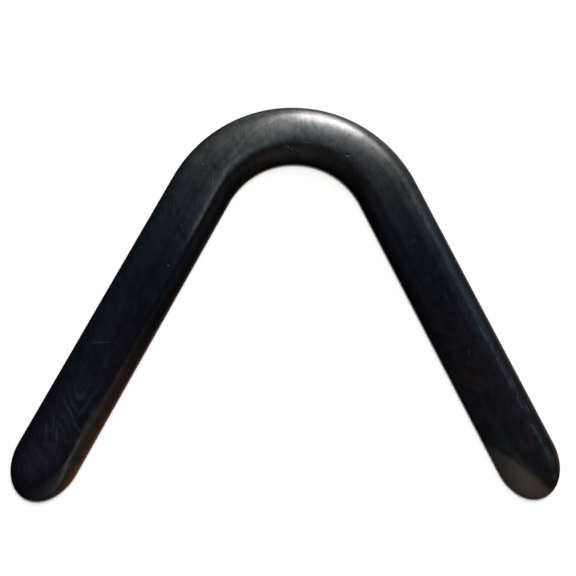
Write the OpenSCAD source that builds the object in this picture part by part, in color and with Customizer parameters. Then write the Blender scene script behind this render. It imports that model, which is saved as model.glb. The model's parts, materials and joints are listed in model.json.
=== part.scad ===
// Right-handed returning boomerang, cut and shaped from thin-veneer birch plywood.
// Units are millimetres. +Z is up, out of the shaped face, +Y points to the elbow and +X to the right-hand arm.
// The origin is the centre of the bounding box, on the flat underside.

/* [Planform] */
// Angle from the centre line to each arm's outer edge, in degrees
outer_half_angle = 28.8; // [24:0.1:52]
// How much each arm's two edges diverge towards the tip, in degrees
arm_flare = 0.5; // [0:0.1:1.2]
// Radius of the elbow's outer edge
elbow_outer_r = 112; // [104:1:130]
// Radius of the elbow's inner edge
elbow_inner_r = 60; // [52:1:66]
// Distance of the inner arc's centre from the outer arc's centre, towards the elbow
elbow_inner_shift = 6; // [0:0.5:8]
// Length of each arm, from the outer arc's centre to the tip
arm_l = 276.5; // [200:0.5:340]
// Length of the tip's rounding over half the arm's width
tip_ratio = 1.38; // [1:0.02:1.8]

/* [Board] */
// Thickness of the whole plywood board
board_t = 8; // [5:0.1:12]

/* [Airfoil] */
// Share of the left-hand arm's chord taken by its leading bevel, on the inner side
lead_share_l = 0.21; // [0.15:0.01:0.34]
// Share of the right-hand arm's chord taken by its leading bevel, on the outer side
lead_share_r = 0.28; // [0.15:0.01:0.34]
// Share of the left-hand arm's chord between the bevel and the highest line
crown_share_l = 0.015; // [0.005:0.005:0.4]
// Share of the right-hand arm's chord between the bevel and the highest line
crown_share_r = 0.36; // [0.005:0.005:0.4]
// Length of the thinning at each tip
tip_thin_l = 42; // [10:1:60]
// Width of the rounding under the leading edge
lead_under = 1.2; // [0.3:0.1:2]
// Width of the rounding under the trailing edge
trail_under = 0.5; // [0.2:0.1:1]
// Where the airfoil starts to change hands round the elbow, in degrees from the centre line
cross_from = -56; // [-58:1:-20]
// Where the airfoil has changed hands
cross_to = 4; // [0:1:56]

/* [Finish] */
// Colour of the veneers whose grain runs towards the elbow
long_colour = "#17161a";
// Colour of the veneers whose grain runs across
cross_colour = "#1d1818";

/* [Hidden] */
NODES = ["ply_01_underside_veneer", "ply_02_crossband", "ply_03_longband", "ply_04_crossband",
         "ply_05_longband", "ply_06_crossband", "ply_07_longband", "ply_08_centre_crossband",
         "ply_09_centre_crossband", "ply_10_longband", "ply_11_crossband", "ply_12_longband",
         "ply_13_crossband", "ply_14_longband", "ply_15_crossband", "ply_16_top_veneer"];

veneer_n = len(NODES);
veneer_t = board_t / veneer_n;
edge_h = 2.5 * veneer_t;            // height at which the outline is widest
inner_half_angle = outer_half_angle - arm_flare;
elbow_steps = 14;                   // steps of half the elbow
arm_steps = 3;                      // steps of one straight arm
tip_steps = 12;                     // steps of half a tip

// ---- planform: ribs that join the outer edge to the inner edge, for the right-hand half ----
axis_a = (outer_half_angle + inner_half_angle) / 2;
arm_axis = [sin(axis_a), -cos(axis_a)];
outer_dir = [sin(outer_half_angle), -cos(outer_half_angle)];
inner_dir = [sin(inner_half_angle), -cos(inner_half_angle)];
outer_start = elbow_outer_r * [cos(outer_half_angle), sin(outer_half_angle)];
inner_start = [0, elbow_inner_shift] + elbow_inner_r * [cos(inner_half_angle), sin(inner_half_angle)];
function on_edge(start, dir, s) = start + dir * ((s - start * arm_axis) / (dir * arm_axis));
outer_tip = on_edge(outer_start, outer_dir, arm_l);
inner_tip = on_edge(inner_start, inner_dir, arm_l);
s_start = (outer_start * arm_axis + inner_start * arm_axis) / 2;
half_w_tip = norm(outer_tip - inner_tip) / 2;
tip_round_l = tip_ratio * half_w_tip;

function elbow_rib(t) = [elbow_outer_r * [sin(t * (90 - outer_half_angle)), cos(t * (90 - outer_half_angle))],
                         [0, elbow_inner_shift] + elbow_inner_r * [sin(t * (90 - inner_half_angle)), cos(t * (90 - inner_half_angle))]];
function arm_rib(s) = let (u = (s - s_start) / (arm_l - s_start))
    [outer_start + u * (outer_tip - outer_start), inner_start + u * (inner_tip - inner_start)];

// ---- airfoil: how much is cut away at height z, as a share of the chord or as a length ----
function rise(z) = (z - edge_h) / (board_t - edge_h);
function under(z, r) = z < edge_h ? r * (1 - sqrt(1 - pow(1 - z / edge_h, 2))) : 0;
function over(z, m, n) = z > edge_h ? 1 - pow(1 - pow(min(1, rise(z)), m), 1 / n) : 0;
// the bevel climbs steeply from the edge, the crown is the gentle rise from there to the highest line
function lead_cut(z, chord, lead, crown) = under(z, lead_under) / chord + lead * over(z, 1.3, 1.45) + crown * over(z, 6.5, 2);
function trail_cut(z, chord, lead, crown) = under(z, trail_under) / chord + (0.98 - lead - crown) * over(z, 1.1, 1.6);
function tip_cut(z) = under(z, 0.8) + tip_thin_l * over(z, 1.5, 1.65);

// 0 where the inner edge leads, as on the left-hand arm, and 1 where the outer edge leads
function smooth(x) = let (c = max(0, min(1, x))) c * c * (3 - 2 * c);
function handed(a) = smooth((a - cross_from) / (cross_to - cross_from));

// ---- one closed contour of the shaped board at height z ----
// a station is [rib, angle round the elbow, width factor]; side is 1 on the right and -1 on the left
function half_stations(z) =
    let (s_end = arm_l - tip_cut(z), round_l = tip_round_l - 0.5 * tip_cut(z), s_flat = s_end - round_l)
    concat(
        [for (i = [1 : elbow_steps]) [elbow_rib(i / elbow_steps), i / elbow_steps * (90 - axis_a), 1]],
        [for (i = [1 : arm_steps]) [arm_rib(s_start + (s_flat - s_start) * i / arm_steps), 90 - axis_a, 1]],
        [for (i = [1 : tip_steps]) let (f = 90 * i / tip_steps) [arm_rib(s_flat + round_l * sin(f)), 90 - axis_a, cos(f)]]);
function contour_point(station, side, outer, z) =
    let (rib = station[0], chord = norm(rib[1] - rib[0]), h = handed(side * station[1]),
         c_out = trail_cut(z, chord, lead_share_l, crown_share_l) * (1 - h) + lead_cut(z, chord, lead_share_r, crown_share_r) * h,
         c_in = lead_cut(z, chord, lead_share_l, crown_share_l) * (1 - h) + trail_cut(z, chord, lead_share_r, crown_share_r) * h,
         mid = (c_out + 1 - c_in) / 2, half = (1 - c_in - c_out) / 2 * station[2],
         p = rib[0] + (rib[1] - rib[0]) * (outer ? mid - half : mid + half))
    [side * p.x, p.y];
function contour(z) =
    let (st = half_stations(z), n = len(st), apex = [elbow_rib(0), 0, 1])
    concat(
        [for (i = [n - 1 : -1 : 0]) contour_point(st[i], -1, true, z)],
        [contour_point(apex, 1, true, z)],
        [for (i = [0 : n - 1]) contour_point(st[i], 1, true, z)],
        [for (i = [n - 2 : -1 : 0]) contour_point(st[i], 1, false, z)],
        [contour_point(apex, 1, false, z)],
        [for (i = [0 : n - 2]) contour_point(st[i], -1, false, z)]);

widest = contour(edge_h);
y_mid = (max([for (p = widest) p.y]) + min([for (p = widest) p.y])) / 2;

// ---- one veneer: the contours between its two glue lines, closed above and below ----
function rows(k) = k == veneer_n ? 9 : k == veneer_n - 1 ? 5 : k == veneer_n - 2 ? 4 : k == 3 ? 4 : k < 3 ? 2 : 3;
// the top veneer's rows crowd towards its face, where the surface turns level
function row_z(k, j) = let (f = j / rows(k))
    veneer_t * (k - 1 + (k == veneer_n ? 1 - pow(1 - f, 2) : f));

module veneer(k) {
    n = rows(k);
    rings = [for (j = [0 : n]) contour(row_z(k, j))];
    m = len(rings[0]);
    points = [for (j = [0 : n]) for (p = rings[j]) [p.x, p.y - y_mid, row_z(k, j)]];
    sides = [for (j = [0 : n - 1]) for (i = [0 : m - 1]) let (a = j * m + i, b = j * m + (i + 1) % m)
             each [[a, b, b + m], [a, b + m, a + m]]];
    lid = strip(m / 2, m);
    polyhedron(points, concat([for (t = lid) [t[2], t[1], t[0]]], sides, [for (t = lid) [for (i = t) n * m + i]]));
}

// triangles that join the outer edge to the inner edge, rib by rib, from the left-hand tip to the right-hand one
function strip(half_m, m) = concat([[0, 1, m - 1]],
    [for (j = [1 : half_m - 2]) each [[j, j + 1, m - j - 1], [j, m - j - 1, m - j]]],
    [[half_m - 1, half_m, half_m + 1]]);

function is_cross(k) = k <= veneer_n / 2 ? k % 2 == 0 : k % 2 == 1;

module ply(k) {
    color(is_cross(k) ? cross_colour : long_colour) veneer(k);
}

for (k = [1 : veneer_n])
    ply(k);
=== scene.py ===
import json
import math

import bpy
import numpy as np
from mathutils import Matrix, Vector


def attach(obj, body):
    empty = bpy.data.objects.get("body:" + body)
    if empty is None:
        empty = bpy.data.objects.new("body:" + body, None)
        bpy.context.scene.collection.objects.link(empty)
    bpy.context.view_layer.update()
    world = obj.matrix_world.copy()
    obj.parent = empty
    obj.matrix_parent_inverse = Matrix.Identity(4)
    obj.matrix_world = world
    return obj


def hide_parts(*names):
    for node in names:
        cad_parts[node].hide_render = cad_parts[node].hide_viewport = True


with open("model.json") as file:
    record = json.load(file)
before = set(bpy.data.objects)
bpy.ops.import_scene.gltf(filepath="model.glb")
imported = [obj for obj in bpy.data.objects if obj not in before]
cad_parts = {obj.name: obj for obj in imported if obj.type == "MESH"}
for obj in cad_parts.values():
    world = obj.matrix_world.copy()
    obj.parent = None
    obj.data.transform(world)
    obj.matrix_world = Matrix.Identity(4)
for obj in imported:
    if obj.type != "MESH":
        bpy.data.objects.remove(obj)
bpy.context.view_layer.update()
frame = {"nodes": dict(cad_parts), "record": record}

MM = 0.001

# ---------------------------------------------------------------- shape
# The same planform and airfoil as the CAD model, in millimetres, sampled finely.
OUT_A, FLARE, R_OUT, R_IN, SHIFT, ARM_L, TIP_RATIO = 28.8, 0.5, 112.0, 60.0, 6.0, 276.5, 1.38
BOARD, PLIES = 8.0, 16
PLY = BOARD / PLIES
EDGE_Z = 2.5 * PLY
LEAD_L, LEAD_R, CROWN_L, CROWN_R = 0.21, 0.28, 0.015, 0.36
TIP_THIN, LEAD_UNDER, TRAIL_UNDER = 42.0, 1.2, 0.5
CROSS_FROM, CROSS_TO = -56.0, 4.0
IN_A = OUT_A - FLARE
AXIS_A = (OUT_A + IN_A) / 2
N_ELBOW, N_ARM, N_TIP = 110, 130, 56


def unit(deg):
    return np.array([math.sin(math.radians(deg)), -math.cos(math.radians(deg))])


AX, OUT_D, IN_D = unit(AXIS_A), unit(OUT_A), unit(IN_A)
OUT_S = R_OUT * np.array([math.cos(math.radians(OUT_A)), math.sin(math.radians(OUT_A))])
IN_S = np.array([0, SHIFT]) + R_IN * np.array([math.cos(math.radians(IN_A)), math.sin(math.radians(IN_A))])


def on_edge(start, direction, s):
    return start + direction * ((s - start @ AX) / (direction @ AX))


OUT_T, IN_T = on_edge(OUT_S, OUT_D, ARM_L), on_edge(IN_S, IN_D, ARM_L)
S_START = (OUT_S @ AX + IN_S @ AX) / 2
TIP_ROUND = TIP_RATIO * np.linalg.norm(OUT_T - IN_T) / 2


def under(z, r):
    return r * (1 - math.sqrt(max(0.0, 1 - (1 - z / EDGE_Z) ** 2))) if z < EDGE_Z else 0.0


def over(z, m, n):
    if z <= EDGE_Z:
        return 0.0
    return 1 - (1 - min(1.0, (z - EDGE_Z) / (BOARD - EDGE_Z)) ** m) ** (1 / n)


def handed_between(a, start, end):
    x = np.clip((a - start) / (end - start), 0, 1)
    return x * x * (3 - 2 * x)


def handed(a):
    return handed_between(a, CROSS_FROM, CROSS_TO)


def contour(z):
    """One closed ring of the shaped board at height z, clockwise from the left-hand tip."""
    tip = under(z, 0.8) + TIP_THIN * over(z, 1.5, 1.65)
    s_end, round_l = ARM_L - tip, TIP_ROUND - 0.5 * tip
    s_flat = s_end - round_l
    t = np.arange(0, N_ELBOW + 1) / N_ELBOW
    ao, ai = np.radians(t * (90 - OUT_A)), np.radians(t * (90 - IN_A))
    out = [R_OUT * np.c_[np.sin(ao), np.cos(ao)]]
    inn = [np.array([0, SHIFT]) + R_IN * np.c_[np.sin(ai), np.cos(ai)]]
    f = np.radians(90 * np.arange(1, N_TIP + 1) / N_TIP)
    s = np.r_[S_START + (s_flat - S_START) * np.arange(1, N_ARM + 1) / N_ARM, s_flat + round_l * np.sin(f)]
    u = ((s - S_START) / (ARM_L - S_START))[:, None]
    out = np.vstack(out + [OUT_S + u * (OUT_T - OUT_S)])
    inn = np.vstack(inn + [IN_S + u * (IN_T - IN_S)])
    angle = np.r_[t * (90 - AXIS_A), np.full(N_ARM + N_TIP, 90 - AXIS_A)]
    width = np.r_[np.ones(N_ELBOW + 1 + N_ARM), np.cos(f)]
    width[-1] = 0
    chord = np.linalg.norm(inn - out, axis=1)
    bevel, crown, taper = over(z, 1.3, 1.45), over(z, 6.5, 2), over(z, 1.1, 1.6)
    lead_l = under(z, LEAD_UNDER) / chord + LEAD_L * bevel + CROWN_L * crown
    lead_r = under(z, LEAD_UNDER) / chord + LEAD_R * bevel + CROWN_R * crown
    trail_l = under(z, TRAIL_UNDER) / chord + (0.98 - LEAD_L - CROWN_L) * taper
    trail_r = under(z, TRAIL_UNDER) / chord + (0.98 - LEAD_R - CROWN_R) * taper
    halves = []
    for side in (-1, 1):
        h = handed(side * angle)
        c_out, c_in = trail_l * (1 - h) + lead_r * h, lead_l * (1 - h) + trail_r * h
        mid, half = (c_out + 1 - c_in) / 2, (1 - c_in - c_out) / 2 * width
        flip = np.array([side, 1.0])
        for across in (mid - half, mid + half):
            halves.append((out + (inn - out) * across[:, None]) * flip)
    lo, li, ro, ri = halves
    n = len(width) - 1
    return np.vstack([lo[:0:-1], ro, ri[n - 1 :: -1], li[1:n]])


def rows():
    """Heights of the rings, close together where the top turns level, with every glue line among them."""
    out = []
    for k in range(PLIES):
        lo, hi = k * PLY, (k + 1) * PLY
        n = 5 if hi <= EDGE_Z else max(6, int(round(170 * (math.sqrt(1 - (lo - EDGE_Z) / (BOARD - EDGE_Z)) - math.sqrt(max(0, 1 - (hi - EDGE_Z) / (BOARD - EDGE_Z)))))))
        if lo < EDGE_Z <= hi and hi > EDGE_Z:
            n = 6
        if lo >= EDGE_Z:
            a, b = math.sqrt(1 - (lo - EDGE_Z) / (BOARD - EDGE_Z)), math.sqrt(max(0, 1 - (hi - EDGE_Z) / (BOARD - EDGE_Z)))
            zs = [BOARD - (BOARD - EDGE_Z) * (a + (b - a) * j / n) ** 2 for j in range(n + 1)]
        else:
            zs = [lo + (hi - lo) * j / n for j in range(n + 1)]
        zs[0], zs[-1] = lo, hi
        out.append(zs)
    return out


y_mid = (lambda c: (c[:, 1].max() + c[:, 1].min()) / 2)(contour(EDGE_Z))
PLY_ROWS = rows()
Z = sorted({z for zs in PLY_ROWS for z in zs})
RING = {z: i for i, z in enumerate(Z)}
P = np.array([np.c_[contour(z) - [0, y_mid], np.full(2 * (2 * (N_ELBOW + N_ARM + N_TIP)), z)] for z in Z])  # row, round, xyz
M = P.shape[1]
HALF = M // 2

# normals of the whole shaped surface, so that it shades as one across the glue lines
du = np.roll(P, -1, 1) - np.roll(P, 1, 1)
dv = np.empty_like(P)
dv[1:-1], dv[0], dv[-1] = P[2:] - P[:-2], P[1] - P[0], P[-1] - P[-2]
NORMAL = np.cross(dv, du)
NORMAL /= np.maximum(np.linalg.norm(NORMAL, axis=2, keepdims=True), 1e-12)
NORMAL[-1] = [0, 0, 1]


def sanded(spread):
    """Ease the normals across each rib, as sanding eases the crest; the low edge keeps its own."""
    for k in range(2 * n_st + 1):
        o, i = k, (M - k) % M if 0 < k < 2 * n_st else k
        path = np.vstack([P[:, o], P[::-1, i]])
        normal = np.vstack([NORMAL[:, o], NORMAL[::-1, i]])
        s = np.r_[0, np.cumsum(np.linalg.norm(np.diff(path, axis=0), axis=1))]
        share = np.gradient(s) + 1e-6
        # eased most where the crown rolls over to the inside of the elbow
        inside = handed_between(s - s[-1], -26.0, -18.0) * handed_between(P[WIDEST, o, 1], 60.0, 105.0)
        width = (spread + 3.6 * inside)[:, None]
        w = np.exp(-0.5 * ((s[:, None] - s) / width) ** 2) * share
        eased = (w @ normal) / w.sum(1, keepdims=True)
        keep = handed_between(path[:, 2], 4.0, 6.8)[:, None]
        eased = normal + (eased - normal) * keep
        eased /= np.linalg.norm(eased, axis=1, keepdims=True)
        EASED[:, o] = eased[: len(P)]
        if i != o:
            EASED[:, i] = eased[: len(P) - 1 : -1]


n_st = N_ELBOW + N_ARM + N_TIP
WIDEST = RING[min(Z, key=lambda z: abs(z - EDGE_Z))]
EASED = NORMAL.copy()
sanded(2.6)
NORMAL = EASED

# how far in from the outline each point lies, and whether it is on a leading edge
INSET = np.linalg.norm((P - P[WIDEST])[..., :2], axis=2)
turn = np.r_[np.arange(0, N_ELBOW + 1) / N_ELBOW * (90 - AXIS_A), np.full(N_ARM + N_TIP, 90 - AXIS_A)]
h_l, h_r = handed(-turn), handed(turn)
LEAD_SIDE = np.r_[h_l[:0:-1], h_r, 1 - h_r[n_st - 1 :: -1], 1 - h_l[1:n_st]]

# distance from the inner outline, and from the crest line, which runs near the inner outline on the left arm,
# crosses the elbow, and runs near the outer outline on the right arm
OUTLINE = P[WIDEST][:, :2]
OUTER_LINE, INNER_LINE = OUTLINE[: 2 * n_st + 1], np.vstack([OUTLINE[2 * n_st :], OUTLINE[:1]])


def distance(points, line):
    """Least distance from each point to a polyline."""
    a, d = line[:-1], np.diff(line, axis=0)
    k = np.clip(((points[:, None] - a) * d).sum(-1) / np.maximum((d * d).sum(-1), 1e-9), 0, 1)
    return np.linalg.norm(points[:, None] - a - k[..., None] * d, axis=-1).min(1)


FROM_INNER = np.array([distance(row[:, :2], INNER_LINE[::3]) for row in P])
FROM_OUTER = np.array([distance(row[:, :2], OUTER_LINE[::3]) for row in P])
signed = np.r_[-turn[:0:-1], turn, turn[n_st - 1 :: -1], -turn[1:n_st]]
to_right = handed_between(signed, -58.0, -6.0)
down_arm = np.clip((P[..., 0] + 60.0) / -150.0, 0, 1)
TARGET = (1 - (0.285 - 0.14 * down_arm**2)) * (1 - to_right) + 0.2 * to_right
CREST = (FROM_OUTER / np.maximum(FROM_OUTER + FROM_INNER, 1e-6) - TARGET) * (FROM_OUTER + FROM_INNER)


def veneer(name, zs):
    """One veneer as a closed mesh: its cut edge in fine rings, and its two flat faces."""
    idx = [RING[z] for z in zs]
    ring, n = P[idx], len(idx)
    verts = ring.reshape(-1, 3) * MM * [0.99998, 0.99998, 1.0]
    j, i = np.meshgrid(np.arange(n - 1), np.arange(M), indexing="ij")
    a, b = j * M + i, j * M + (i + 1) % M
    band = np.stack([a, a + M, b + M, b], -1).reshape(-1, 4)
    strip = np.array([[s, M - s, M - s - 1, s + 1] for s in range(1, HALF - 1)])
    ends = np.array([[0, M - 1, 1], [HALF - 1, HALF + 1, HALF]])
    top = (n - 1) * M
    loops = np.concatenate([band.ravel(), strip[:, ::-1].ravel(), ends[:, ::-1].ravel(), (strip + top).ravel(), (ends + top).ravel()])
    sizes = np.concatenate([np.full(len(band), 4), np.full(len(strip), 4), [3, 3], np.full(len(strip), 4), [3, 3]])
    nb, nc = band.size, strip.size + ends.size
    me = bpy.data.meshes.new(name)
    me.vertices.add(len(verts))
    me.vertices.foreach_set("co", verts.astype(np.float32).ravel())
    me.loops.add(len(loops))
    me.loops.foreach_set("vertex_index", loops.astype(np.int32))
    me.polygons.add(len(sizes))
    me.polygons.foreach_set("loop_start", np.r_[0, np.cumsum(sizes)[:-1]].astype(np.int32))
    me.update(calc_edges=True)
    me.validate()
    me.polygons.foreach_set("use_smooth", np.ones(len(sizes), bool))
    flat = np.zeros((nc, 3))
    crown = NORMAL[idx[-1]][np.concatenate([strip.ravel(), ends.ravel()])] if zs[-1] == BOARD else flat + [0, 0, 1]
    normals = np.vstack([NORMAL[idx].reshape(-1, 3)[band.ravel()], flat - [0, 0, 1], crown])
    me.normals_split_custom_set(normals.astype(np.float32))
    attrs = {"inset_mm": INSET[idx], "lead_side": np.tile(LEAD_SIDE, (n, 1)), "crest_mm": CREST[idx], "from_inner_mm": FROM_INNER[idx]}
    for attr, values in attrs.items():
        me.attributes.new(attr, "FLOAT", "POINT").data.foreach_set("value", values.ravel().astype(np.float32))
    ob = bpy.data.objects.new(name, me)
    bpy.context.collection.objects.link(ob)
    return ob


# ---------------------------------------------------------------- materials
class Nodes:
    """Short names for the nodes that the finish is built from. Positions are in millimetres of the row frame."""

    def __init__(self, material, top):
        self.t = material.node_tree
        self.top = top
        self.t.nodes.clear()
        self.out = self.t.nodes.new("ShaderNodeOutputMaterial")
        self.p = self.t.nodes.new("ShaderNodeBsdfPrincipled")
        self.t.links.new(self.p.outputs[0], self.out.inputs["Surface"])
        coord = self.t.nodes.new("ShaderNodeTexCoord").outputs["Object"]
        self.mm = self.vec("SCALE", coord, scale=1000.0)
        sep = self.t.nodes.new("ShaderNodeSeparateXYZ")
        self.t.links.new(self.mm, sep.inputs[0])
        self.x, self.y, self.z = sep.outputs

    def put(self, socket, value):
        if isinstance(value, bpy.types.NodeSocket):
            self.t.links.new(value, socket)
        elif value is not None:
            socket.default_value = value

    def math(self, op, a, b=None, c=None, clamp=False):
        n = self.t.nodes.new("ShaderNodeMath")
        n.operation, n.use_clamp = op, clamp
        for s, v in zip(n.inputs, (a, b, c)):
            self.put(s, v)
        return n.outputs[0]

    def add(self, *values):
        out = values[0]
        for v in values[1:]:
            out = self.math("ADD", out, v)
        return out

    def mul(self, *values):
        out = values[0]
        for v in values[1:]:
            out = self.math("MULTIPLY", out, v)
        return out

    def vec(self, op, a, b=None, scale=None):
        n = self.t.nodes.new("ShaderNodeVectorMath")
        n.operation = op
        self.put(n.inputs[0], a)
        if b is not None:
            self.put(n.inputs[1], b)
        if scale is not None:
            self.put(n.inputs["Scale"], scale)
        return n.outputs[0]

    def step(self, value, lo, hi, a=0.0, b=1.0, smooth=True):
        n = self.t.nodes.new("ShaderNodeMapRange")
        n.interpolation_type = "SMOOTHSTEP" if smooth else "LINEAR"
        for s, v in zip(n.inputs, (value, lo, hi, a, b)):
            self.put(s, v)
        return n.outputs[0]

    def turned(self, degrees, stretch, shift=(0, 0, 0)):
        """Positions turned about Z, then scaled: a pattern read there runs along that direction."""
        n = self.t.nodes.new("ShaderNodeMapping")
        n.vector_type = "POINT"
        self.put(n.inputs["Vector"], self.mm)
        n.inputs["Rotation"].default_value = (0, 0, math.radians(-degrees))
        n.inputs["Scale"].default_value = (1, 1, 1)
        m = self.t.nodes.new("ShaderNodeMapping")
        self.put(m.inputs["Vector"], n.outputs[0])
        m.inputs["Scale"].default_value = stretch
        m.inputs["Location"].default_value = shift
        return m.outputs[0]

    def noise(self, vector, scale=1.0, detail=2.0, rough=0.5, distortion=0.0):
        n = self.t.nodes.new("ShaderNodeTexNoise")
        self.put(n.inputs["Vector"], vector)
        n.inputs["Scale"].default_value = scale
        n.inputs["Detail"].default_value = detail
        n.inputs["Roughness"].default_value = rough
        n.inputs["Distortion"].default_value = distortion
        return n.outputs[0]

    def spot(self, x, y, rx, ry, degrees=0.0, soft=1.0):
        """1 inside an ellipse on the plan and 0 outside, with a soft rim. The underside has none of the top's marks."""
        if not self.top:
            return 0.0
        n = self.t.nodes.new("ShaderNodeMapping")
        n.vector_type = "TEXTURE"
        self.put(n.inputs["Vector"], self.mm)
        n.inputs["Location"].default_value = (x, y, 0)
        n.inputs["Rotation"].default_value = (0, 0, math.radians(degrees))
        n.inputs["Scale"].default_value = (rx, ry, 1e5)
        length = self.t.nodes.new("ShaderNodeVectorMath")
        length.operation = "LENGTH"
        self.put(length.inputs[0], n.outputs[0])
        return self.step(length.outputs["Value"], 1.0, 1.0 - soft)

    def attribute(self, name):
        n = self.t.nodes.new("ShaderNodeAttribute")
        n.attribute_name = name
        return n.outputs["Fac"]

    def colour(self, factor, a, b):
        n = self.t.nodes.new("ShaderNodeMix")
        n.data_type = "RGBA"
        self.put(n.inputs["Factor"], factor)
        self.put(n.inputs[6], a if isinstance(a, bpy.types.NodeSocket) else (*a, 1))
        self.put(n.inputs[7], b if isinstance(b, bpy.types.NodeSocket) else (*b, 1))
        return n.outputs[2]


def lacquered(name, ink, wear_and_warm_reflection, end_grain=0.0, gloss=0.12, top=1.0):
    """Black-stained veneer under semi-gloss lacquer: ink is the stain; the second colour is brown wood showing where
    the stain is worn thin near the outline, and it is also a painted warm reflection along the leading edges.
    """
    m = bpy.data.materials.new(name)
    m.use_nodes = True
    g = Nodes(m, top)
    inset, lead = g.attribute("inset_mm"), g.attribute("lead_side")
    crest_mm, from_inner = g.attribute("crest_mm"), g.attribute("from_inner_mm")

    # grain runs along Y through the whole sheet, whatever way the arm points
    pores = g.noise(g.turned(0, (1.9, 0.045, 0.9)), detail=3, rough=0.62)
    fine = g.noise(g.turned(1.5, (4.2, 0.09, 1.5), (3, 7, 1)), detail=2, rough=0.5)
    bands = g.noise(g.turned(-1, (0.16, 0.012, 0.3), (11, 2, 5)), detail=3, rough=0.6, distortion=0.4)
    pore_line = g.step(pores, 0.60, 0.74)
    # the veneer's figure: long loops and nested Vs where the cutter crossed the growth rings
    warp = g.noise(g.turned(0, (0.045, 0.022, 0.1), (1, 4, 2)), detail=2, rough=0.55)
    right = g.math("MAXIMUM", g.math("SUBTRACT", g.x, -167.0), 0.0)
    left = g.math("MAXIMUM", g.math("SUBTRACT", -167.0, g.x), 0.0)
    bend = g.math("SQRT", g.add(g.mul(right, right), g.mul(left, left, 1.8), 22.0))
    vee = g.math("SUBTRACT", g.y, g.mul(bend, 1.45))
    loops = g.noise(g.turned(0, (0.020, 0.0055, 0.05), (5, 3, 9)), detail=1.5, rough=0.45, distortion=0.25)
    near_vee = g.spot(-167, -86, 26, 34, -28, 0.8)
    warp_2 = g.noise(g.turned(10, (0.14, 0.07, 0.1), (4, 1, 7)), detail=2, rough=0.6)
    vee_rings = g.math("FRACT", g.add(g.mul(vee, 0.070), g.mul(warp, 2.9), g.mul(warp_2, 0.75)))
    loop_rings = g.math("FRACT", g.add(g.mul(loops, 22.0), g.mul(warp, 0.8)))
    line_of = lambda f, w: g.step(g.math("ABSOLUTE", g.math("SUBTRACT", f, 0.5)), w, 0.0)
    broken = g.step(g.noise(g.turned(20, (0.11, 0.07, 0.1), (8, 8, 8)), detail=2, rough=0.6), 0.42, 0.66)
    vee_line = g.mul(line_of(vee_rings, 0.34), near_vee, g.step(broken, 0.0, 1.0, 0.50, 1.0))
    loop_line = g.mul(line_of(loop_rings, 0.22), broken)
    figure = g.math("MAXIMUM", vee_line, g.mul(loop_line, 0.16))

    # handling: faint hairlines in a few directions, short deeper scratches, and rubbed, dulled patches
    hair = None
    for degrees, at, keep in ((52, (3, 9, 2), 0.700), (-37, (13, 5, 7), 0.705), (8, (7, 21, 4), 0.71), (84, (17, 2, 8), 0.715)):
        line = g.step(g.noise(g.turned(degrees, (3.4, 0.055, 0.02), at), detail=1.0, rough=0.4), keep, keep + 0.05)
        hair = line if hair is None else g.math("MAXIMUM", hair, line)
    hair = g.mul(hair, g.step(g.noise(g.turned(0, (0.05, 0.05, 0.02), (2, 6, 4)), detail=2), 0.40, 0.62))
    MARKS = [
        (-152.0, -33.2, 10.0, 0.8, 3, 0.40), (-100.4, 27.9, 1.3, 1.0, 40, 1.0), (-5.4, 140.0, 0.5, 4.6, -4, 0.9),
        (-7.0, 124.6, 2.4, 0.7, -35, 1.0), (-4.0, 123.0, 1.6, 0.5, 50, 0.8), (8.0, 128.5, 12.0, 0.5, -6, 0.45),
        (24.0, 127.6, 7.0, 0.45, 4, 0.4), (-58.0, 104.0, 0.45, 11.0, 0, 0.4), (-66.5, 97.0, 0.4, 9.0, 2, 0.4),
        (-97.0, 74.0, 0.5, 5.0, 0, 0.4), (-91.0, 60.0, 1.0, 0.9, 0, 0.5), (-193.0, -101.0, 1.1, 9.0, 2, 0.28),
        (-187.5, -97.0, 1.0, 10.0, -3, 0.26), (-184.6, -106.0, 1.1, 11.0, 3, 0.28), (141.5, -38.0, 0.5, 3.0, -5, 0.5),
        (172.0, -34.0, 0.9, 5.0, 30, 0.5), (179.0, -62.0, 0.8, 7.5, 27, 0.55), (191.0, -83.0, 0.7, 6.0, 30, 0.45),
        (58.0, 101.0, 0.4, 5.0, 35, 0.35), (96.0, 52.0, 0.5, 4.5, -60, 0.3), (122.0, 8.0, 0.5, 6.0, 20, 0.3),
    ]
    marks = None
    for mx, my, rx, ry, degrees, strength in MARKS:
        one = g.mul(g.spot(mx, my, rx, ry, degrees, 0.9), strength)
        marks = one if marks is None else g.math("MAXIMUM", marks, one)
    # dents: pressed in by the bump, with painted shade in them from a near-black colour and cut shine
    DENTS = [(25.6, 122.0, 0.9, 4.4, 8), (28.2, 119.5, 0.7, 3.2, -8), (41.0, 119.3, 2.1, 1.3, -20), (-74.0, 110.0, 1.2, 1.2, 0)]
    dents_and_shade = None
    for mx, my, rx, ry, degrees in DENTS:
        one = g.spot(mx, my, rx, ry, degrees, 1.0)
        dents_and_shade = one if dents_and_shade is None else g.math("MAXIMUM", dents_and_shade, one)
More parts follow.
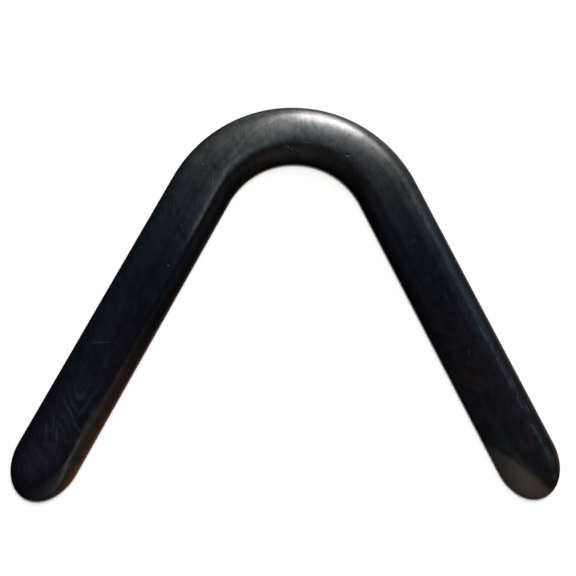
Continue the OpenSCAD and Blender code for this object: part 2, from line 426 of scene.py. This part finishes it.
    # painted highlight along the crest between the two slopes: pale along the left arm and over the elbow, warmer near
    # the left tip, and a faint broken bluish line on the right arm
    wobble = g.noise(g.turned(0, (0.09, 0.09, 0.05), (5, 5, 5)), detail=2, rough=0.6)
    crest = g.step(g.math("ABSOLUTE", g.add(crest_mm, g.mul(g.math("SUBTRACT", wobble, 0.5), 3.0))), 2.4, 0.1)
    crest_broken = g.step(g.noise(g.turned(30, (0.20, 0.12, 0.1), (2, 2, 9)), detail=3, rough=0.7), 0.36, 0.62, 0.45, 1.0)
    crest_upper = g.math("MAXIMUM", g.spot(-71.0, 79.0, 46, 20, 60, 0.7), g.mul(g.spot(-30.0, 136.0, 42, 22, 38, 0.8), 0.8))
    crest_right = g.mul(g.step(g.x, 66.0, 100.0), g.step(crest_broken, 0.55, 1.0), top)
    crest_tip = g.mul(g.spot(-176.0, -124.0, 44, 18, 58, 0.7), 0.85)
    cloudy = g.noise(g.turned(30, (0.17, 0.11, 0.1), (1, 3, 3)), detail=4, rough=0.66, distortion=0.5)
    smudge = g.noise(g.turned(15, (0.032, 0.024, 0.03), (4, 4, 4)), detail=3, rough=0.6, distortion=0.6)
    dabs = g.noise(g.turned(-30, (0.16, 0.11, 0.1), (9, 1, 3)), detail=3, rough=0.65)

    # stain: blue-black and browner in broad drifts; near the outline a brown that is partly stain worn thin where the
    # shaped edge has been handled and partly a painted warm reflection on the leading edges
    drift = g.step(g.noise(g.turned(0, (0.014, 0.010, 0.02), (6, 2, 1)), detail=2, rough=0.5), 0.40, 0.66)
    warm_tip = g.math("MAXIMUM", g.mul(g.spot(138, -26, 13, 40, 27, 1.0), 0.7), g.math("MAXIMUM", g.spot(-184, -112, 26, 16, 30, 1.0), g.mul(g.spot(176, -88, 13, 26, 27, 1.0), 0.6)))
    brown = g.mul(0.55, g.math("MAXIMUM", g.spot(151, -62, 9, 13, 27, 1.0), g.spot(187, -110, 9, 13, 27, 1.0)), g.step(cloudy, 0.35, 0.6, 0.4, 1.0))
    base = g.colour(drift, ink, tuple(c * k for c, k in zip(ink, (1.5, 1.15, 1.0))))
    base = g.colour(g.mul(warm_tip, g.step(cloudy, 0.38, 0.62, 0.2, 0.9)), base, (0.0050, 0.0020, 0.0034))
    base = g.colour(brown, base, (0.0085, 0.0042, 0.0022))
    base = g.colour(g.mul(bands, 0.35), base, tuple(c * 0.55 for c in ink))
    # brown near the outline, most on the leading edges and towards the bottom: part wear, part painted warm reflection
    rubbed_edge_and_warm_reflection = g.math("MULTIPLY", g.step(inset, 5.2, 0.2), g.step(g.noise(g.turned(0, (0.10, 0.06, 0.5), (3, 3, 3)), detail=3, rough=0.65), 0.30, 0.62))
    rubbed_edge_and_warm_reflection = g.mul(rubbed_edge_and_warm_reflection, g.step(lead, 0.15, 0.85, 0.2, 1.0), g.step(g.y, 60.0, -70.0, 0.12, 1.0))
    base = g.colour(g.mul(rubbed_edge_and_warm_reflection, 0.55), base, wear_and_warm_reflection)
    # painted warm reflection on the left arm's inner bevel below the crest: brown lower down, then orange towards the
    # left tip, partly wood worn through
    on_bevel = g.mul(g.step(crest_mm, 1.0, 4.5), g.step(g.x, -90.0, -120.0), top)
    base = g.colour(g.mul(on_bevel, g.step(g.y, -20.0, -95.0), g.step(cloudy, 0.25, 0.70, 0.5, 1.0)), base, (0.0070, 0.0034, 0.0020))
    base = g.colour(g.mul(on_bevel, g.step(inset, 9.5, 1.0), g.step(g.y, -70.0, -146.0), g.step(cloudy, 0.25, 0.70, 0.6, 1.0)), base, (0.048, 0.017, 0.005))
    # painted crest highlight in the colour
    base = g.colour(g.mul(crest, crest_broken, crest_upper), base, (0.034, 0.032, 0.027))
    base = g.colour(g.mul(crest, crest_broken, crest_tip), base, (0.030, 0.025, 0.016))
    base = g.colour(g.mul(crest, crest_right, 0.8), base, (0.012, 0.0145, 0.0165))
    # a painted dull tan reflection on the end of the right arm, where the tip thins and slopes down
    ragged = g.mul(g.math("SUBTRACT", g.noise(g.turned(40, (0.12, 0.12, 0.1), (7, 7, 2)), detail=3, rough=0.6), 0.5), 5.0)
    below_a = g.add(g.y, g.mul(g.x, 0.45), ragged)
    below_b = g.add(g.y, g.mul(g.x, 0.79), ragged)
    tan_tip_reflection = g.mul(g.step(below_a, -38.5, -48.0), g.step(below_b, 20.5, 12.5), g.step(g.x, 120.0, 140.0), top)
    base = g.colour(g.mul(tan_tip_reflection, g.step(smudge, 0.3, 0.7, 0.75, 1.0)), base, (0.0215, 0.0160, 0.0100))
    base = g.colour(g.mul(figure, 0.36), base, (0.020, 0.021, 0.023))
    base = g.colour(g.mul(pore_line, 0.30), base, (0.0004, 0.0004, 0.0006))
    base = g.colour(g.mul(hair, 0.13), base, (0.022, 0.023, 0.025))
    base = g.colour(marks, base, (0.032, 0.031, 0.030))
    base = g.colour(g.mul(dents_and_shade, 0.8), base, (0.0004, 0.0004, 0.0005))
    g.put(g.p.inputs["Base Color"], base)

    rough = g.add(
        gloss + 0.06 * end_grain,
        g.mul(g.math("SUBTRACT", smudge, 0.5), 0.10),
        g.mul(g.step(dabs, 0.55, 0.75), 0.03),
        g.mul(figure, 0.05),
        g.mul(pore_line, 0.03),
        g.mul(hair, 0.05),
        g.mul(marks, 0.22),
        g.mul(g.step(inset, 1.2, 0.1), 0.10),
    )
    # the shine: cloudy from handling and duller in streaks along the grain; painted shade and highlight in the specular
    # level: cut at the very outline, cut towards the inner edges of the elbow and the arms, and raised in a band 16 mm
    # in from the elbow's inner edge and where the elbow's highlight falls
    streak = g.noise(g.turned(1, (0.95, 0.050, 0.2), (8, 8, 1)), detail=3, rough=0.65)
    streaky = g.mul(g.step(g.x, 0.0, -50.0, 0.35, 1.0), g.math("SUBTRACT", streak, 0.5))
    grit = g.noise(g.turned(0, (0.75, 0.60, 0.5), (5, 2, 6)), detail=3, rough=0.7)
    in_elbow = g.mul(g.step(g.y, 45.0, 100.0), top)
    eased_band = g.step(g.math("ABSOLUTE", g.math("SUBTRACT", from_inner, 16.0)), 5.0, 0.5)
    elbow_inside = g.add(
        1.0,
        g.mul(in_elbow, eased_band, 0.75),
        g.mul(in_elbow, g.step(from_inner, 13.0, 8.5), -0.28),
        g.mul(in_elbow, g.step(from_inner, 9.0, 4.5), -0.30),
        g.mul(in_elbow, g.step(from_inner, 5.0, 1.0), -0.20),
    )
    dull_left = g.spot(-118.0, 2.0, 24, 80, -28, 0.8)
    # painted highlight: more shine where the elbow's highlight falls
    elbow_highlight_boost = g.spot(34.0, 139.0, 52, 22, -18, 0.9)
    arm_inside = g.mul(g.step(from_inner, 12.0, 3.0), g.step(g.y, 70.0, 20.0), g.step(g.y, -70.0, -20.0))
    shine = g.mul(
        g.step(inset, 1.5, 0.2, 0.5, 0.10),
        g.step(cloudy, 0.32, 0.68, 0.70, 1.30, smooth=False),
        g.add(1.0, g.mul(streaky, 1.0), g.mul(g.math("SUBTRACT", grit, 0.5), 0.55)),
        elbow_inside,
        g.math("SUBTRACT", 1.0, g.mul(dull_left, 0.38)),
        g.add(1.0, g.mul(elbow_highlight_boost, 0.14)),
        g.math("SUBTRACT", 1.0, g.mul(arm_inside, 0.30)),
        g.math("SUBTRACT", 1.0, g.mul(dents_and_shade, 0.75)),
    )
    g.put(g.p.inputs["Specular IOR Level"], shine)
    # painted reflection colour in the specular tint: navy on the arms, drifting to purple
    on_arm = g.step(g.y, 98.0, 50.0)
    drift_2 = g.step(g.noise(g.turned(-40, (0.030, 0.020, 0.03), (9, 6, 3)), detail=3, rough=0.6, distortion=0.5), 0.42, 0.60)
    purple = g.mul(drift_2, g.step(g.y, 20.0, -40.0))
    painted_reflection_tint = g.colour(g.mul(on_arm, 0.9), (1.0, 1.0, 1.0), g.colour(purple, (0.60, 0.80, 1.0), (1.0, 0.80, 0.95)))
    g.put(g.p.inputs["Specular Tint"], painted_reflection_tint)
    g.put(g.p.inputs["Roughness"], g.math("MAXIMUM", g.math("MINIMUM", rough, 0.75), 0.09))

    # heights in metres: hand-sanded waves, orange peel, grain telegraphing through the lacquer, scratches
    waves = g.noise(g.turned(25, (0.030, 0.022, 0.03), (1, 8, 2)), detail=1.5, rough=0.4)
    ripples = g.noise(g.turned(-12, (0.11, 0.085, 0.1), (6, 6, 1)), detail=2, rough=0.5)
    peel = g.noise(g.turned(0, (0.55, 0.5, 0.5), (2, 9, 9)), detail=2, rough=0.5)
    height = g.add(
        g.mul(waves, 1.6e-4),
        g.mul(ripples, 2.2e-5),
        g.mul(peel, 2.4e-6),
        g.mul(pores, 2.2e-6 * (1 + end_grain)),
        g.mul(fine, 0.9e-6),
        g.mul(pore_line, -3.0e-6),
        g.mul(figure, 2.5e-6),
        g.mul(hair, -2.0e-6),
        g.mul(marks, -1.6e-5),
        g.mul(dents_and_shade, -1.5e-4),
    )
    bump = g.t.nodes.new("ShaderNodeBump")
    bump.inputs["Strength"].default_value = 1.0
    bump.inputs["Distance"].default_value = 1.0
    g.put(bump.inputs["Height"], height)
    g.put(g.p.inputs["Normal"], bump.outputs[0])
    g.p.inputs["IOR"].default_value = 1.5
    return m


MATERIALS = {
    "face_veneer": lacquered("stained_face_veneer", (0.0005, 0.0007, 0.0016), (0.024, 0.009, 0.004)),
    "longband_veneer": lacquered("stained_long_grain_edge", (0.0006, 0.0007, 0.0015), (0.030, 0.011, 0.005), 0.0),
    "crossband_veneer": lacquered("stained_end_grain_edge", (0.0004, 0.0005, 0.0011), (0.020, 0.008, 0.004), 1.0),
    "back_veneer": lacquered("stained_back_veneer", (0.0008, 0.0009, 0.0015), (0.026, 0.010, 0.005), 0.0, 0.14, 0.0),
}

# ---------------------------------------------------------------- pieces
NODES = sorted(n for n in frame["nodes"])
slots = {s["node"]: s["material_slot"] for s in frame["record"]["subparts"]}
for k, node in enumerate(NODES):
    ob = veneer("shaped_" + node, PLY_ROWS[k])
    ob.data.materials.append(MATERIALS[slots[node]])
    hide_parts(node)
    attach(ob, "root")

# ---------------------------------------------------------------- floor, light, camera
fm = bpy.data.meshes.new("floor")
fm.from_pydata([(-3, -3, -0.0002), (3, -3, -0.0002), (3, 3, -0.0002), (-3, 3, -0.0002)], [], [(0, 1, 2, 3)])
floor = bpy.data.objects.new("floor", fm)
bpy.context.collection.objects.link(floor)
fmat = bpy.data.materials.new("pale_floor")
fmat.use_nodes = True
fp = fmat.node_tree.nodes["Principled BSDF"]
fp.inputs["Base Color"].default_value = (0.71, 0.71, 0.71, 1)
fp.inputs["Roughness"].default_value = 0.9
fp.inputs["Specular IOR Level"].default_value = 0.1
fm.materials.append(fmat)

scene = bpy.context.scene
world = bpy.data.worlds.new("soft_light")
scene.world = world
world.use_nodes = True
# Soft studio light as broad glows: angle from overhead, azimuth from +X, tightness, colour. The key is up beyond the elbow.
GLOWS = [
    (50, 68, 50, (19.741, 18.935, 17.252)),
    (50, 86, 50, (7.882, 7.693, 7.599)),
    (40, 69, 50, (6.777, 7.195, 7.871)),
    (70, 75, 50, (6.855, 6.588, 6.267)),
    (60, 70, 50, (4.694, 4.496, 5.256)),
    (30, 79, 50, (3.584, 3.579, 3.253)),
    (80, 80, 26, (1.661, 1.489, 1.230)),
    (70, 105, 50, (1.122, 1.454, 1.533)),
    (40, 111, 50, (1.156, 1.308, 1.263)),
    (50, 32, 50, (0.938, 1.039, 1.074)),
    (80, 51, 26, (0.965, 1.022, 0.844)),
    (20, 74, 50, (0.228, 0.418, 0.522)),
    (50, 356, 50, (0.327, 0.429, 0.400)),
    (40, 281, 10, (0.420, 0.365, 0.368)),
    (70, 30, 50, (0.317, 0.389, 0.412)),
    (10, 107, 50, (0.268, 0.301, 0.369)),
    (80, 354, 50, (0.379, 0.340, 0.205)),
    (40, 26, 50, (0.133, 0.258, 0.379)),
    (30, 190, 50, (0.257, 0.214, 0.284)),
    (80, 310, 26, (0.565, 0.168, 0.022)),
    (30, 135, 50, (0.181, 0.240, 0.281)),
    (30, 301, 50, (0.261, 0.215, 0.110)),
    (80, 8, 50, (0.187, 0.227, 0.150)),
    (60, 316, 50, (0.235, 0.142, 0.049)),
    (30, 356, 50, (0.134, 0.125, 0.145)),
    (50, 230, 50, (0.093, 0.095, 0.093)),
    (40, 153, 26, (0.024, 0.042, 0.099)),
    (50, 68, 26, (0.000, 0.000, 0.022)),
]
AMBIENT = (0.0, 0.0, 0.0)
wt = world.node_tree
wt.nodes.clear()
w_out = wt.nodes.new("ShaderNodeOutputWorld")
w_bg = wt.nodes.new("ShaderNodeBackground")
w_dir = wt.nodes.new("ShaderNodeTexCoord").outputs["Generated"]
w_norm = wt.nodes.new("ShaderNodeVectorMath")
w_norm.operation = "NORMALIZE"
wt.links.new(w_dir, w_norm.inputs[0])
total = None
for theta, azimuth, tight, glow in GLOWS:
    th, az = math.radians(theta), math.radians(azimuth)
    dot = wt.nodes.new("ShaderNodeVectorMath")
    dot.operation = "DOT_PRODUCT"
    wt.links.new(w_norm.outputs[0], dot.inputs[0])
    dot.inputs[1].default_value = (math.sin(th) * math.cos(az), math.sin(th) * math.sin(az), math.cos(th))
    lin = wt.nodes.new("ShaderNodeMath")
    lin.operation = "MULTIPLY_ADD"
    wt.links.new(dot.outputs["Value"], lin.inputs[0])
    lin.inputs[1].default_value, lin.inputs[2].default_value = tight, -tight
    ex = wt.nodes.new("ShaderNodeMath")
    ex.operation = "EXPONENT"
    wt.links.new(lin.outputs[0], ex.inputs[0])
    sc = wt.nodes.new("ShaderNodeVectorMath")
    sc.operation = "SCALE"
    sc.inputs[0].default_value = glow
    wt.links.new(ex.outputs[0], sc.inputs["Scale"])
    add = wt.nodes.new("ShaderNodeVectorMath")
    add.operation = "ADD"
    if total is None:
        add.inputs[0].default_value = AMBIENT
    else:
        wt.links.new(total, add.inputs[0])
    wt.links.new(sc.outputs[0], add.inputs[1])
    total = add.outputs[0]
wt.links.new(total, w_bg.inputs["Color"])
wt.links.new(w_bg.outputs[0], w_out.inputs["Surface"])

rx, ry, rz = (math.radians(v) for v in (-1.578, 4.546, -0.736))
tx, ty, dist, f_px = 4.94, -11.87, 700.0, 869.67
rot = Matrix.Rotation(rx, 4, "X") @ Matrix.Rotation(ry, 4, "Y") @ Matrix.Rotation(rz, 4, "Z")
to_cam = Matrix.Translation(Vector((tx, ty, -dist)) * MM) @ rot
cam_data = bpy.data.cameras.new("camera")
cam_data.sensor_width = 36
cam_data.lens = f_px * 36 / 576
cam_data.clip_start, cam_data.clip_end = 0.01, 20
cam = bpy.data.objects.new("camera", cam_data)
cam.matrix_world = to_cam.inverted()
bpy.context.collection.objects.link(cam)
scene.camera = cam
scene.view_settings.view_transform = "Standard"
